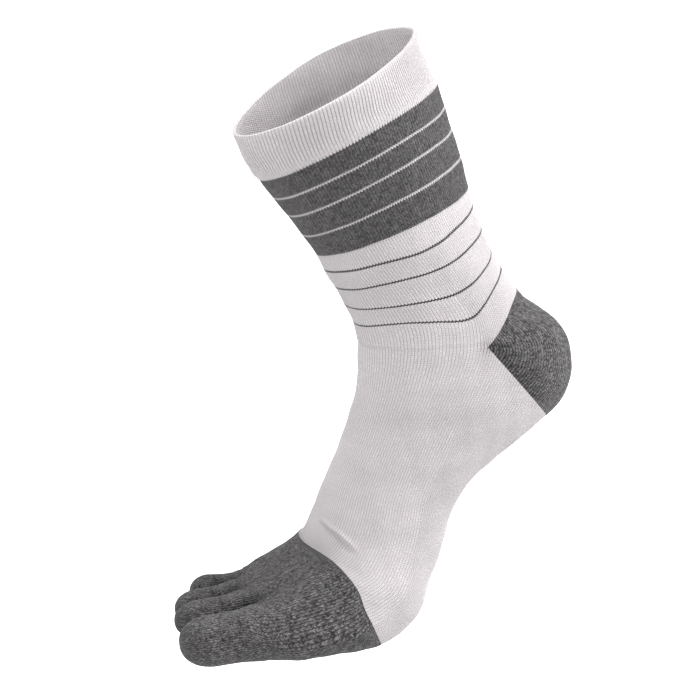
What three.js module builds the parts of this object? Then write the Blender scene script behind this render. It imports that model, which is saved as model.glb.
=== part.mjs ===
// A knitted toe sock in the shape that a foot on tiptoe gives it: hollow, open at the top,
// with five toe pockets. Millimetres. +Z is up, the toes point to -X, and the big toe's side faces -Y.
// The origin is the middle of the hollow at the ankle.
import * as THREE from "three";

// The leg, from the ankle line up to the rim
const legLength = 148; // along the leg's axis
const legLean = 25.5; // degrees that the leg leans towards the toes
const rimDepth = 105.6; // front to back at the rim
const rimWidth = 87;
const ankleDepth = 80; // front to back at the ankle line, without the heel
const ankleWidth = 72;
const cuffHeight = 27; // the white welt, along the leg
const bandHeight = 51; // the grey striped band below it

// The heel pocket, a wedge whose two corners lie on the ankle line
const cornerBack = 12.5; // its corners, behind the origin
const cornerUp = 1.2; // and above it
const ankleTilt = 3.2; // degrees that the ankle line rises to the corners
const ankleFront = 57; // corners to the front of the ankle
const heelReach = 58; // corners to the sole's end of the heel
const heelTopReach = 31.5; // corners to the top of the pocket
const heelTopTilt = 46.5; // degrees, upper edge of the pocket
const heelSoleTilt = -49; // degrees, lower edge of the pocket

// The foot, from the ankle line to the line where the toes part
const footLength = 183; // corners to the parting line, straight
const footBend = 1.18; // how much longer the foot is along its bent middle
const ballDepth = 50;
const ballWidth = 98;
const forefootLength = 45.3; // the grey part in front of the white foot, along its sides
const forefootTopLength = 60.5; // and along the instep
const forefootLean = 16; // how steeply its line leans over the instep to the inner side
const forefootSoleLength = 50.7; // and along the sole
const ballLength = 62; // the white part over the ball, behind the grey part
const toeTilt = 5; // degrees that the toes point down
const bigToeLength = 42.5;
const toeGap = 0.7; // between neighbouring toes

// The fabric
const knitWall = 1.2;
const cuffWall = 2; // the welt is a double layer
const knitGap = 0.3; // between two knitted parts
const foldRise = 0.3; // share of cuffWall that the folded rim stands up

// The form of the curves
const bowPower = 1.5; // how late a course rises towards its sides
const gatherReach = 0.9; // share of the forefoot's width over which its stitches run to the toes
const toeCorner = 60; // degrees from a toe's crest to the corner of its outline
const toeFull = 2.3; // how square a toe is across
const capPower = 0.85; // how blunt its tip is
const toeFreeAt = 0.5; // share of a toe's straight part where it takes its own form

// How finely the surfaces are divided
const aroundCount = 40;
const cuffRings = 4;
const bandRings = 5;
const ankleRings = 9;
const heelRings = 8;
const heelAround = 20;
const footRings = 10;
const ballRings = 7;
const forefootRings = 6;
const toeArc = 4; // facets over the top of one toe, and under it
const toeSide = 3; // facets down one side of a toe
const toeRings = 5;
const toeCapRings = 4;
const sliver = 1e-3; // edges shorter than this are left out

// Courses of the leg. along is a share of legLength from the ankle line, shift a share of ankleDepth
// towards the back. A course is a bent ring: a front half and a back half that meet at its sides, each
// with a tilt in degrees. front, back and side are shares of the depth and width there. round softens the
// bend, bow lifts both sides, skew carries the outer side to the front, roll lifts the outer side and
// swell bulges the back half upwards between its ends, as shares of the depth. full is how square the
// ring is, from 2 for an ellipse.
const legRows = [
  { along: 0, shift: 0, front: ankleFront / ankleDepth, back: heelTopReach / ankleDepth, side: 0.5,
    frontTilt: ankleTilt, backTilt: heelTopTilt, round: 0, bow: 0, skew: 0, roll: 0, swell: 0.035,
    full: 2.3 },
  { along: 0.105, shift: -0.004, front: 0.643, back: 0.345, side: 0.47,
    frontTilt: 8.3, backTilt: 40, round: 0.07, bow: 0, skew: 0, roll: 0, swell: 0.02, full: 2.25 },
  { along: 0.198, shift: -0.041, front: 0.575, back: 0.353, side: 0.451,
    frontTilt: 11.8, backTilt: 31, round: 0.12, bow: 0, skew: 0, roll: 0, swell: 0, full: 2.2 },
  { along: 0.314, shift: -0.086, front: 0.501, back: 0.387, side: 0.443,
    frontTilt: 19, backTilt: 22, round: 0.15, bow: 0, skew: 0, roll: 0, swell: 0, full: 2.15 },
  { along: 0.393, shift: -0.117, front: 0.474, back: 0.418, side: 0.447,
    frontTilt: 21.5, backTilt: 21.5, round: 0.1, bow: 0, skew: 0, roll: 0, swell: 0, full: 2.1 },
  { along: 0.471, shift: -0.14, front: 0.446, back: 0.446, side: 0.451,
    frontTilt: 22.5, backTilt: 22.5, round: 0, bow: 0.015, skew: 0, roll: 0, swell: 0, full: 2 },
  { along: 0.637, shift: -0.139, front: 0.471, back: 0.471, side: 0.4745,
    frontTilt: 26.5, backTilt: 26.5, round: 0, bow: 0.03, skew: 0, roll: 0, swell: 0, full: 2 },
  { along: 0.817, shift: -0.146, front: 0.49, back: 0.4925, side: 0.494,
    frontTilt: 27.4, backTilt: 27.4, round: 0, bow: 0.035, skew: 0, roll: 0, swell: 0, full: 2 },
  { along: 0.905, shift: -0.147, front: 0.505, back: 0.491, side: 0.496,
    frontTilt: 27.8, backTilt: 27.8, round: 0, bow: 0.024, skew: -0.016, roll: 0.007, swell: 0, full: 1.93 },
  { along: 1, shift: -0.148, front: 0.49, back: 0.49, side: 0.5,
    frontTilt: 28.2, backTilt: 28.2, round: 0, bow: 0.01, skew: -0.035, roll: 0.017, swell: 0, full: 1.8 },
];

// The heel pocket's reach from its corners, as a share of heelReach, at shares of the way down from its
// upper edge.
const heelRows = [
  { at: 0, reach: heelTopReach / heelReach },
  { at: 0.14, reach: 0.549 },
  { at: 0.245, reach: 0.592 },
  { at: 0.345, reach: 0.68 },
  { at: 0.5, reach: 0.81 },
  { at: 0.68, reach: 0.93 },
  { at: 0.82, reach: 0.985 },
  { at: 1, reach: 1 },
];

// Courses of the foot. ahead and down are shares of footLength from the heel's corners. along is the share
// of the way to the parting line. inner and outer are the half widths on the big toe's side and the little
// toe's side, ridge is how far the instep's ridge lies to the outer side, and skew lifts the outer side,
// all shares of the width there.
const footRows = [
  { along: 0, ahead: 0, down: 0, front: ankleFront / ankleDepth, back: heelReach / ankleDepth, bow: 0,
    inner: 0.5, outer: 0.5, ridge: 0, frontTilt: ankleTilt, backTilt: heelSoleTilt, skew: 0, full: 2.3 },
  { along: 0.11, ahead: 0.041, down: 0.127, front: 0.65, back: 0.58, bow: 0,
    inner: 0.467, outer: 0.467, ridge: 0, frontTilt: 1.6, backTilt: -45.8, skew: 0, full: 2.25 },
  { along: 0.22, ahead: 0.08, down: 0.237, front: 0.645, back: 0.445, bow: 0,
    inner: 0.43, outer: 0.445, ridge: -0.01, frontTilt: -1, backTilt: -41.5, skew: 0, full: 2.2 },
  { along: 0.32, ahead: 0.124, down: 0.336, front: 0.643, back: 0.34, bow: 0,
    inner: 0.41, outer: 0.44, ridge: -0.02, frontTilt: -3.3, backTilt: -36, skew: 0, full: 2.2 },
  { along: 0.42, ahead: 0.168, down: 0.43, front: 0.642, back: 0.325, bow: 0.01,
    inner: 0.405, outer: 0.455, ridge: -0.03, frontTilt: -8.6, backTilt: -27.5, skew: 0, full: 2.2 },
  { along: 0.52, ahead: 0.2, down: 0.54, front: 0.675, back: 0.325, bow: 0.02,
    inner: 0.42, outer: 0.47, ridge: -0.03, frontTilt: -16.8, backTilt: -23, skew: 0.01, full: 2.2 },
  { along: 0.6, ahead: 0.2225, down: 0.622, front: 0.73, back: 0.305, bow: 0.04,
    inner: 0.445, outer: 0.49, ridge: -0.03, frontTilt: -23.3, backTilt: -25, skew: 0.01, full: 2.2 },
  { along: 0.68, ahead: 0.261, down: 0.693, front: 0.745, back: 0.345, bow: 0.07,
    inner: 0.475, outer: 0.505, ridge: -0.02, frontTilt: -33.5, backTilt: -38, skew: 0.02, full: 2.3 },
  { along: 0.725, ahead: 0.3, down: 0.72, front: 0.72, back: 0.38, bow: 0.09,
    inner: 0.485, outer: 0.515, ridge: -0.015, frontTilt: -42, backTilt: -49, skew: 0.025, full: 2.35 },
  { along: 0.77, ahead: 0.343, down: 0.743, front: 0.69, back: 0.36, bow: 0.12,
    inner: 0.49, outer: 0.52, ridge: -0.01, frontTilt: -52, backTilt: -63, skew: 0.03, full: 2.4 },
  { along: 0.85, ahead: 0.431, down: 0.77, front: 0.59, back: 0.275, bow: 0.12,
    inner: 0.495, outer: 0.53, ridge: 0, frontTilt: -59, backTilt: -74, skew: 0.04, full: 2.5 },
  { along: 0.92, ahead: 0.514, down: 0.787, front: 0.485, back: 0.23, bow: 0.07,
    inner: 0.485, outer: 0.53, ridge: 0.01, frontTilt: -62, backTilt: -80, skew: 0.045, full: 2.5 },
  { along: 1, ahead: 0.618, down: 0.792, front: 0.4, back: 0.2, bow: 0.02,
    inner: 0.46, outer: 0.515, ridge: 0.01, frontTilt: -79, backTilt: -88, skew: 0.05, full: 2.5 },
];

// The six edges between and beside the toes at the parting line, from the big toe's side: side is a share
// of ballWidth to the outer side, ahead, top and bottom are shares of ballDepth from the last course's
// middle.
const partingEdges = [
  { side: -0.445, ahead: -0.06, top: 0.1, bottom: -0.06, bulge: 0.012 },
  { side: -0.171, ahead: -0.02, top: 0.31, bottom: -0.11, bulge: 0 },
  { side: 0.012, ahead: 0.1, top: 0.35, bottom: -0.08, bulge: 0 },
  { side: 0.187, ahead: 0.04, top: 0.35, bottom: -0.06, bulge: 0 },
  { side: 0.357, ahead: -0.08, top: 0.29, bottom: -0.05, bulge: 0 },
  { side: 0.51, ahead: -0.16, top: 0.2, bottom: 0.02, bulge: 0.012 },
];

// The toes. crest and sole are the height over and under the middle of the parting line, middle is the
// height of the tip's middle and high its half height, all shares of ballDepth. length is a share of
// bigToeLength, and lean is the degrees that the toe turns to the outer side.
const toes = [
  { name: "big_toe", crest: 0.36, sole: -0.2, middle: 0.06, high: 0.25, length: 1, lean: 3 },
  { name: "second_toe", crest: 0.39, sole: -0.17, middle: 0.165, high: 0.19, length: 0.87, lean: 1 },
  { name: "third_toe", crest: 0.4, sole: -0.15, middle: 0.175, high: 0.186, length: 0.76, lean: 0 },
  { name: "fourth_toe", crest: 0.38, sole: -0.14, middle: 0.215, high: 0.185, length: 0.62, lean: -2 },
  { name: "little_toe", crest: 0.3, sole: -0.12, middle: 0.11, high: 0.165, length: 0.54, lean: -5 },
];

// The outline of any toe at shares of its length: wide and high are shares of its half width and height.
const toeOutline = [
  { at: 0, wide: 1, high: 1 },
  { at: 0.3, wide: 0.95, high: 0.96 },
  { at: 0.62, wide: 0.98, high: 1 },
];

const radians = THREE.MathUtils.degToRad;
const white = new THREE.Color("#e9e6ea");
const grey = new THREE.Color("#6f6e70");

const corner = new THREE.Vector3(cornerBack, 0, cornerUp);
const legAxis = new THREE.Vector3(-Math.sin(radians(legLean)), 0, Math.cos(radians(legLean)));
const legAcross = new THREE.Vector3(legAxis.z, 0, -legAxis.x);
const toeAxis = new THREE.Vector3(-Math.cos(radians(toeTilt)), 0, -Math.sin(radians(toeTilt)));
const toeUp = new THREE.Vector3(toeAxis.z, 0, -toeAxis.x);

// A direction in the side view, at an angle from level.
function sideways(degrees) {
  return new THREE.Vector3(Math.cos(radians(degrees)), 0, Math.sin(radians(degrees)));
}

function mix(a, b, share) {
  return a + (b - a) * share;
}

function power(value, exponent) {
  return Math.sign(value) * Math.abs(value) ** exponent;
}

// Every column of a table at one place between its rows, on a smooth curve through them.
function smoothRow(rows, key, place) {
  const last = rows.length - 1;
  let i = 0;
  while (i < last - 1 && place > rows[i + 1][key]) i += 1;
  const span = rows[i + 1][key] - rows[i][key];
  const t = (place - rows[i][key]) / span;
  const slope = (column, k) => {
    const low = rows[Math.max(k - 1, 0)];
    const high = rows[Math.min(k + 1, last)];
    return (high[column] - low[column]) / (high[key] - low[key]);
  };
  const made = {};
  for (const column of Object.keys(rows[0])) {
    const a = rows[i][column];
    const b = rows[i + 1][column];
    made[column] =
      a * (1 + 2 * t) * (1 - t) ** 2 +
      b * t ** 2 * (3 - 2 * t) +
      span * (slope(column, i) * t * (1 - t) ** 2 - slope(column, i + 1) * t ** 2 * (1 - t));
  }
  return made;
}

// The real sizes of a course of the leg, at a share of its length.
function legCourse(along) {
  const row = smoothRow(legRows, "along", along);
  const depth = mix(ankleDepth, rimDepth, along);
  const width = mix(ankleWidth, rimWidth, along);
  return {
    ...row,
    middle: corner.clone().addScaledVector(legAxis, along * legLength)
      .addScaledVector(legAcross, row.shift * ankleDepth),
    front: row.front * depth,
    back: row.back * depth,
    inner: row.side * width,
    outer: row.side * width,
    ridge: 0,
    skew: row.skew * depth,
    round: row.round * depth,
    bow: row.bow * depth,
    roll: row.roll * depth,
    swell: row.swell * depth,
  };
}

// The real sizes of a course of the foot, at a share of the way to the parting line.
function footCourse(along) {
  const row = smoothRow(footRows, "along", along);
  const depth = mix(ankleDepth, ballDepth, along);
  const width = mix(ankleWidth, ballWidth, along);
  return {
    ...row,
    middle: corner.clone().add(new THREE.Vector3(-row.ahead, 0, -row.down).multiplyScalar(footLength)),
    front: row.front * depth,
    back: row.back * depth,
    inner: row.inner * width,
    outer: row.outer * width,
    ridge: row.ridge * width,
    skew: row.skew * width,
    round: 0,
    bow: row.bow * depth,
    roll: 0,
    swell: 0,
  };
}

// One point of a course. turn is its angle from the front of the ring, with the big toe's side at a
// quarter turn.
function coursePoint(course, turn, inset) {
  const ahead = Math.cos(turn) >= 0;
  const exponent = 2 / course.full;
  const reach = (ahead ? course.front : course.back) - inset;
  const half = (Math.sin(turn) >= 0 ? course.inner : course.outer) - inset;
  const share = -power(Math.sin(turn), exponent);
  const depth = -power(Math.cos(turn), exponent) * reach - course.skew * share;
  const bend = radians(course.backTilt - course.frontTilt) / 2;
  const line = (course.frontTilt + course.backTilt) / 2;
  const lifted = course.bow * Math.abs(share) ** bowPower + course.roll * share;
  const swollen = ahead ? 0 : course.swell * 4 * share ** 2 * (1 - share ** 2);
  const rise = Math.hypot(depth, course.round) * Math.sin(bend) + lifted + swollen;
  return course.middle.clone()
    .addScaledVector(sideways(line), depth * Math.cos(bend))
    .addScaledVector(sideways(line + 90), rise)
    .add(new THREE.Vector3(0, course.ridge * (1 - Math.abs(share)) + half * share, 0));
}

function courseRing(course, inset) {
  return Array.from({ length: aroundCount }, (_, j) =>
    coursePoint(course, (2 * Math.PI * j) / aroundCount, inset));
}

// A point moved towards another by a real distance.
function towards(from, to, distance) {
  return from.clone().lerp(to, distance / from.distanceTo(to));
}

// Rings with the first and the last moved in by half the gap that knitted parts keep.
function trimmed(rings) {
  const last = rings.length - 1;
  return rings.map((ring, i) => {
    if (i === 0) return ring.map((p, j) => towards(p, rings[1][j], knitGap / 2));
    if (i === last) return ring.map((p, j) => towards(p, rings[last - 1][j], knitGap / 2));
    return ring;
  });
}

// Triangles of a solid, gathered as corner points.
class Faces {
  constructor() {
    this.corners = [];
  }

  triangle(a, b, c) {
    if (Math.min(a.distanceTo(b), b.distanceTo(c), c.distanceTo(a)) < sliver) return;
    for (const p of [a, b, c]) this.corners.push(p.x, p.y, p.z);
  }

  quad(a, b, c, d) {
    this.triangle(a, b, c);
    this.triangle(a, c, d);
  }

  // The surface between two rings of equally many points, closed round or open.
  strip(low, high, closed = true) {
    const count = closed ? low.length : low.length - 1;
    for (let j = 0; j < count; j += 1) {
      const next = (j + 1) % low.length;
      this.quad(low[j], low[next], high[next], high[j]);
    }
  }

  strips(rings, closed = true) {
    for (let i = 0; i + 1 < rings.length; i += 1) this.strip(rings[i], rings[i + 1], closed);
  }

  geometry() {
    const made = new THREE.BufferGeometry();
    made.setAttribute("position", new THREE.Float32BufferAttribute(this.corners, 3));
    made.computeVertexNormals();
    return made;
  }
}

// A tube of fabric with open ends, from its outer rings and as many inner ones. The rings turn so that
// the outer surface faces out when they are listed from the toes to the rim.
function tube(outer, inner) {
  const faces = new Faces();
  faces.strips(outer);
  faces.strips([...inner].reverse());
  faces.strip(inner[0], outer[0]);
  faces.strip(outer[outer.length - 1], inner[inner.length - 1]);
  return faces.geometry();
}

function knitted(name, color, geometry) {
  const material = new THREE.MeshStandardMaterial({ color, roughness: 0.95, metalness: 0 });
  const mesh = new THREE.Mesh(geometry, material);
  mesh.name = name;
  return mesh;
}

// Rings between two places of a part of the sock, both ends included.
function ringsBetween(courseAt, from, to, count, inset) {
  return Array.from({ length: count + 1 }, (_, i) => courseRing(courseAt(mix(from, to, i / count)), inset));
}

const cuffFrom = 1 - cuffHeight / legLength;
const bandFrom = cuffFrom - bandHeight / legLength;
const footPath = footLength * footBend;
const ballFrom = 1 - (forefootLength + ballLength) / footPath;

// The line where the white foot ends and the grey forefoot starts, at a turn round the foot.
function forefootFrom(turn) {
  const ahead = Math.cos(turn);
  const sides = Math.sin(turn) ** 2;
  const lean = forefootLean * Math.sin(turn) * ahead ** 2;
  return ahead >= 0
    ? 1 - (mix(forefootTopLength, forefootLength, sides ** 2) + lean) / footPath
    : 1 - mix(forefootSoleLength, forefootLength, sides) / footPath;
}

function legPart(from, to, count) {
  return tube(trimmed(ringsBetween(legCourse, from, to, count, 0)),
    trimmed(ringsBetween(legCourse, from, to, count, knitWall)));
}

// The welt is a double layer whose folded rim is rounded.
function cuff() {
  const outer = trimmed(ringsBetween(legCourse, cuffFrom, 1, cuffRings, 0));
  const inner = trimmed(ringsBetween(legCourse, cuffFrom, 1, cuffRings, cuffWall));
  const fold = (share) =>
    courseRing(legCourse(1), cuffWall * share).map((p) => p.addScaledVector(legAxis, cuffWall * foldRise));
  return tube([...outer, fold(foldRise)], [...inner, fold(1 - foldRise)]);
}

// Half rings that fan from the pocket's upper edge to its lower edge and meet at its two corners.
function heelRing(share, inset) {
  const course = legCourse(0);
  const bent = {
    ...course,
    back: smoothRow(heelRows, "at", share).reach * heelReach,
    backTilt: mix(heelTopTilt, heelSoleTilt, share),
    swell: course.swell * (1 - share),
  };
  const clear = sideways((heelTopTilt + heelSoleTilt) / 2).multiplyScalar(knitGap * 2);
  return Array.from({ length: heelAround + 1 }, (_, j) => {
    const turn = Math.PI / 2 + (Math.PI * j) / heelAround;
    if (j === 0 || j === heelAround) return coursePoint(course, turn, inset).add(clear);
    return coursePoint(bent, turn, inset);
  });
}

function heel() {
  const shares = Array.from({ length: heelRings + 1 }, (_, i) => 1 - i / heelRings);
  const outer = trimmedInside(shares.map((share) => heelRing(share, 0)));
  const inner = trimmedInside(shares.map((share) => heelRing(share, knitWall)));
  const faces = new Faces();
  faces.strips(outer, false);
  faces.strips([...inner].reverse(), false);
  faces.strip(inner[0], outer[0], false);
  faces.strip(outer[heelRings], inner[heelRings], false);
  return faces.geometry();
}

// As trimmed, for rings that all share their two end points.
function trimmedInside(rings) {
  const between = trimmed(rings.map((ring) => ring.slice(1, -1)));
  return between.map((ring, i) => [rings[i][0], ...ring, rings[i].at(-1)]);
}

function foot() {
  return tube(trimmed(ringsBetween(footCourse, ballFrom, 0, footRings, 0)),
    trimmed(ringsBetween(footCourse, ballFrom, 0, footRings, knitWall)));
}

// A point of the foot's front part, at a share of the way from the forefoot's line to another place.
function frontPoint(turn, to, share, inset) {
  return coursePoint(footCourse(mix(forefootFrom(turn), to, share)), turn, inset);
}

function ball() {
  const rings = (inset) => Array.from({ length: ballRings + 1 }, (_, i) =>
    Array.from({ length: aroundCount }, (_, j) =>
      frontPoint((2 * Math.PI * j) / aroundCount, ballFrom, i / ballRings, inset)));
  return tube(trimmed(rings(0)), trimmed(rings(knitWall)));
}

// The middle of the parting line, in the toes' own directions.
const parting = footCourse(1).middle;

function atParting(ahead, side, up) {
  return parting.clone().addScaledVector(toeAxis, ahead).addScaledVector(toeUp, up).setY(side);
}

// Points down one edge of the toes, from the top to the sole. back is how far behind the parting line it
// lies.
function edgePoints(index, back) {
  const edge = partingEdges[index];
  const outward = Math.sign(edge.side);
  return Array.from({ length: toeSide + 1 }, (_, k) => {
    const down = k / toeSide;
    const bulge = edge.bulge * 4 * down * (1 - down);
    return atParting(edge.ahead * ballDepth - back, (edge.side + outward * bulge) * ballWidth,
      mix(edge.top, edge.bottom, down) * ballDepth);
  });
}

// Points over a toe's top or under its sole at the parting line, from its inner edge to its outer edge.
function arcPoints(index, height, corners, inset) {
  const [from, to] = corners;
  const rise = Math.sign(height);
  const half = radians(toeCorner);
  return Array.from({ length: toeArc + 1 }, (_, k) => {
    const angle = mix(-half, half, k / toeArc);
    const across = (Math.sin(angle) / Math.sin(half) + 1) / 2;
    const arch = (Math.cos(angle) - Math.cos(half)) / (1 - Math.cos(half));
    const p = from.clone().lerp(to, across);
    const up = p.clone().sub(parting).dot(toeUp);
    return p.addScaledVector(toeUp, (height * ballDepth - rise * inset - up) * arch);
  });
}

// One loop of points round a toe's root: over the top, down the outer edge, back under the sole, up the
// inner edge.
function loopOf(index, innerEdge, outerEdge, inset) {
  const toe = toes[index];
  const top = arcPoints(index, toe.crest, [innerEdge[0], outerEdge[0]], inset);
  const sole = arcPoints(index, toe.sole, [innerEdge.at(-1), outerEdge.at(-1)], inset);
  const innerUp = [...innerEdge].reverse();
  return [...top, ...outerEdge.slice(1), ...sole.reverse().slice(1), ...innerUp.slice(1, -1)];
}

// The root loop of one toe at the parting line. inset moves its free sides into the toe, spread the sides
// that face other toes, and back moves the loop behind the line.
function rootLoop(index, inset, spread, back) {
  const inner = edgePoints(index, back);
  const outer = edgePoints(index + 1, back);
  const narrowed = (points, others, edge) => points.map((p, k) => {
    const distance = edge === 0 || edge === toes.length ? inset : spread;
    return p.clone().lerp(others[k], distance / Math.abs(others[k].y - p.y));
  });
  return loopOf(index, narrowed(inner, outer, index), narrowed(outer, inner, index + 1), inset);
}

// The loops of all the toes joined to one ring round the foot: over the tops, down the outer side, under
// the soles.
function joinedLoops(loops) {
  const tops = loops.flatMap((loop, i) => loop.slice(i ? 1 : 0, toeArc + 1));
  const outerSide = loops.at(-1).slice(toeArc + 1, toeArc + toeSide + 1);
  const soleFrom = toeArc + toeSide;
  const soles = [...loops].reverse().flatMap((loop) => loop.slice(soleFrom + 1, soleFrom + toeArc + 1));
  const innerSide = loops[0].slice(soleFrom + toeArc + 1);
  return [...tops, ...outerSide, ...soles, ...innerSide];
}

// A ring of the forefoot with one point for each point of the joined loops, so that the stitches run on from
// the foot into the toes. share is its place between the white foot and the parting line.
function matchedRing(share, joined, inset) {
  const first = partingEdges[0].side;
  const last = partingEdges.at(-1).side;
  const full = footCourse(mix(forefootFrom(Math.PI / 2), 1, share)).full;
  const angle = (side) =>
    Math.asin(power((gatherReach * (2 * side - first - last)) / (last - first), full / 2));
  const topEnd = toes.length * toeArc;
  const soleStart = topEnd + toeSide;
  const soleEnd = soleStart + topEnd;
  const turnAt = (j) => {
    if (j <= topEnd) return -angle(joined[j].y / ballWidth);
    if (j < soleStart) return mix(-angle(last), angle(last) - Math.PI, (j - topEnd) / toeSide);
    if (j <= soleEnd) return Math.PI + angle(joined[j].y / ballWidth);
    return mix(Math.PI + angle(first), -angle(first), (j - soleEnd) / toeSide);
  };
  return joined.map((_, j) => frontPoint(turnAt(j), 1, share, inset));
}

// Rings of the forefoot from the white part to the joined loops, which they take the form of step by step.
function forefootRingsOf(inset, back) {
  const loops = toes.map((_, i) => rootLoop(i, inset, 0, back));
  const joined = joinedLoops(loops);
  const plain = joinedLoops(toes.map((_, i) => rootLoop(i, 0, 0, 0)));
  const rings = [];
  for (let i = 0; i < forefootRings; i += 1) {
    const share = i / forefootRings;
    const ring = matchedRing(share, plain, inset);
    const form = share ** 2 * (3 - 2 * share) * share;
    rings.push(ring.map((p, j) => p.lerp(joined[j], form)));
  }
  rings[0] = rings[0].map((p, j) => towards(p, rings[1][j], knitGap / 2));
  return { rings: [...rings, joined], loops };
}

// The forefoot ends in five openings, one for each toe, with the web of fabric between them.
function forefoot() {
  const outer = forefootRingsOf(0, 0);
  const inner = forefootRingsOf(knitWall, knitWall);
  const faces = new Faces();
  faces.strips(outer.rings);
  faces.strips([...inner.rings].reverse());
  faces.strip(inner.rings[0], outer.rings[0]);
  toes.forEach((_, i) => {
    const mouth = rootLoop(i, knitWall, knitWall + toeGap / 2, 0);
    faces.strip(outer.loops[i], mouth);
    faces.strip(mouth, inner.loops[i]);
  });
  return faces.geometry();
}

// A ring across a toe that stands free of its neighbours. The angles fit the points of the root loop.
function toeRing(index, ahead, half, high, middle, inset) {
  const toe = toes[index];
  const inner = partingEdges[index];
  const outer = partingEdges[index + 1];
  const side = ((inner.side + outer.side) / 2) * ballWidth + Math.tan(radians(toe.lean)) * ahead;
  const start = ((inner.ahead + outer.ahead) / 2) * ballDepth;
  const arc = (from, to, count) => Array.from({ length: count }, (_, k) => radians(mix(from, to, k / count)));
  const angles = [
    ...arc(-toeCorner, toeCorner, toeArc),
    ...arc(toeCorner, 180 - toeCorner, toeSide),
    ...arc(180 - toeCorner, 180 + toeCorner, toeArc),
    ...arc(180 + toeCorner, 360 - toeCorner, toeSide),
  ];
  return angles.map((angle) => atParting(start + ahead,
    side + power(Math.sin(angle), 2 / toeFull) * (half - inset),
    middle + power(Math.cos(angle), 2 / toeFull) * (high - inset)));
}

function toeRingsOf(index, inset) {
  const toe = toes[index];
  const length = toe.length * bigToeLength - inset;
  const half = ((partingEdges[index + 1].side - partingEdges[index].side) / 2) * ballWidth - toeGap / 2;
  const rootHigh = ((toe.crest - toe.sole) / 2) * ballDepth;
  const rootMiddle = ((toe.crest + toe.sole) / 2) * ballDepth;
  const capFrom = toeOutline.at(-1).at;
  const root = rootLoop(index, inset, inset + toeGap / 2, 0).map((p) => p.addScaledVector(toeAxis, knitGap));
  const rings = [root];
  const free = (at, wide, high) => {
    const settle = Math.min(at / capFrom, 1);
    return toeRing(index, at * length, half * wide,
      mix(rootHigh, toe.high * ballDepth, settle) * high,
      mix(rootMiddle, toe.middle * ballDepth, settle), inset);
  };
  for (let i = 1; i <= toeRings; i += 1) {
    const at = (capFrom * i) / toeRings;
    const row = smoothRow(toeOutline, "at", at);
    const ring = free(at, row.wide, row.high);
    const freed = Math.min(1, i / toeRings / toeFreeAt);
    rings.push(ring.map((p, j) => root[j].clone().addScaledVector(toeAxis, at * length).lerp(p, freed)));
  }
  for (let i = 1; i < toeCapRings; i += 1) {
    const angle = (Math.PI / 2) * (i / toeCapRings);
    const row = toeOutline.at(-1);
    const shrink = Math.cos(angle) ** capPower;
    rings.push(free(mix(capFrom, 1, Math.sin(angle)), row.wide * shrink, row.high * shrink));
  }
  return { rings, tip: toeRing(index, length, inset, inset, toe.middle * ballDepth, inset)[0] };
}

// A toe pocket: a tube closed at the tip.
function toePocket(index) {
  const outer = toeRingsOf(index, 0);
  const inner = toeRingsOf(index, knitWall);
  const faces = new Faces();
  faces.strips(outer.rings);
  faces.strips([...inner.rings].reverse());
  faces.strip(inner.rings[0], outer.rings[0]);
  faces.strip(outer.rings.at(-1), outer.rings[0].map(() => outer.tip));
  faces.strip(inner.rings[0].map(() => inner.tip), inner.rings.at(-1));
  return faces.geometry();
}

const sock = new THREE.Group();
sock.name = "toe_sock";
sock.add(knitted("cuff", white, cuff()));
sock.add(knitted("striped_band", grey, legPart(bandFrom, cuffFrom, bandRings)));
sock.add(knitted("ankle", white, legPart(0, bandFrom, ankleRings)));
sock.add(knitted("heel", grey, heel()));
sock.add(knitted("foot", white, foot()));
sock.add(knitted("ball", white, ball()));
sock.add(knitted("forefoot", grey, forefoot()));
toes.forEach((toe, i) => sock.add(knitted(toe.name, grey, toePocket(i))));

export default sock;
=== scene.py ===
"""A knitted toe sock: a ribbed white cuff, a grey band with fine stripes, a white ankle and foot, and a grey
heel, forefoot and toes. Metres. +Z is up, the toes point to -X, and the big toe's side faces -Y."""
import math

import bpy
import numpy as np
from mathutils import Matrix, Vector


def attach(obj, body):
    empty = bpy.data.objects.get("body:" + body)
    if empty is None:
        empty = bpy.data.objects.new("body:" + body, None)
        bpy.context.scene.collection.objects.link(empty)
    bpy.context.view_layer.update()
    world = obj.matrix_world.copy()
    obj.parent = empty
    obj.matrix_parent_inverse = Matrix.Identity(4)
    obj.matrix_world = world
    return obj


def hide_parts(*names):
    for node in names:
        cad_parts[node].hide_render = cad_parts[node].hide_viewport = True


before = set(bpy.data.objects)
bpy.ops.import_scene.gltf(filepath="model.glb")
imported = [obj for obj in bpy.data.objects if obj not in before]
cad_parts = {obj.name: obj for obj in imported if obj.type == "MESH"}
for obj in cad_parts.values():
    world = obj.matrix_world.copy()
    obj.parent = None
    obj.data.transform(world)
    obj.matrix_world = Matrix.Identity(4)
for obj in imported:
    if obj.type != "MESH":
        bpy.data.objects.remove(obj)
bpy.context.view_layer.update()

# The leg, from the ankle line up to the rim
LEG_LENGTH = 0.148
LEG_LEAN = math.radians(25.5)
RIM_DEPTH = 0.1056
RIM_WIDTH = 0.087
ANKLE_DEPTH = 0.080
ANKLE_WIDTH = 0.072
CUFF_HEIGHT = 0.027
BAND_HEIGHT = 0.051

# The heel pocket. The leg and the foot start from its corner, and tilts are degrees over level
CORNER = np.array([0.0125, 0, 0.0012])
ANKLE_TILT = 3.2
ANKLE_FRONT = 0.057
HEEL_REACH = 0.058
HEEL_ARC = 1.3
HEEL_TOP_REACH = 0.0315
HEEL_TOP_TILT = 46.5
HEEL_SOLE_TILT = -49

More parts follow.
